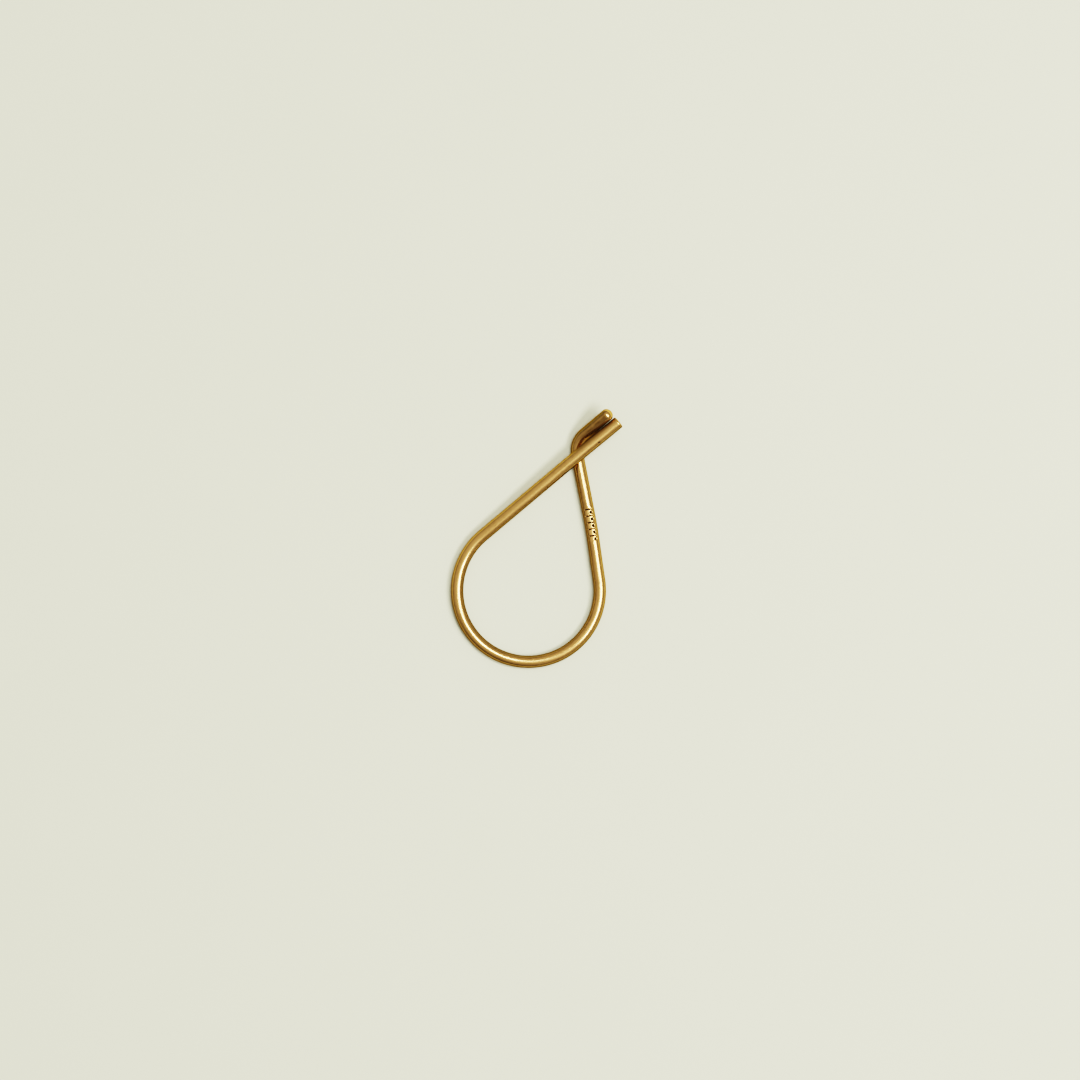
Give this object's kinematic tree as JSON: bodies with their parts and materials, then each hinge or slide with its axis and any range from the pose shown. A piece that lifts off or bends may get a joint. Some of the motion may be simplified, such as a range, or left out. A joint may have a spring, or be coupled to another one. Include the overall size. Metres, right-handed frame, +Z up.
{
  "type": "key ring",
  "caption": "Drop-shaped spring key ring bent from solid round brass wire, with crossed arms that latch behind a bent hook.",
  "frame": {"origin": "on the surface the ring lies on, under the middle of its outline", "axes": "+Y along the drop's long axis, from the round bow towards the crossing; +Z up, out of the surface that the ring lies on; the latch arm starts on the -X side and passes over the hook arm"},
  "size_m": [0.0372, 0.0656, 0.008],
  "materials": {
    "brass": "raw drawn brass wire, satin, with faint lengthwise draw lines and a light warm patina"
  },
  "bodies": {
    "hook_arm": {"hook_arm": "brass"},
    "bow_hook_side": {"bow_hook_side": "brass"},
    "bow_latch_side": {"bow_latch_side": "brass"},
    "latch_arm": {"latch_arm": "brass"}
  },
  "joints": [
    {"name": "squeeze", "type": "hinge", "parent": "hook_arm", "child": "bow_hook_side", "pos_m": [0.01676, -0.01763, 0.0015], "axis": [0.0891, 0.0535, -0.9946], "range_deg": [0, 4], "stiffness_Nm_per_rad": 8},
    {"name": "lift", "type": "hinge", "parent": "bow_hook_side", "child": "bow_latch_side", "pos_m": [0, -0.03132, 0.0015], "axis": [1, 0, 0], "range_deg": [0, 6], "stiffness_Nm_per_rad": 5.6},
    {"name": "squeeze_other_side", "type": "hinge", "parent": "bow_latch_side", "child": "latch_arm", "pos_m": [-0.01675, -0.01763, 0.0015], "axis": [0.0891, 0.0535, -0.9946], "range_deg": [0, 4], "stiffness_Nm_per_rad": 8}
  ],
  "couplings": [
    {"joint": "squeeze_other_side", "follows": "squeeze", "ratio": 1}
  ]
}
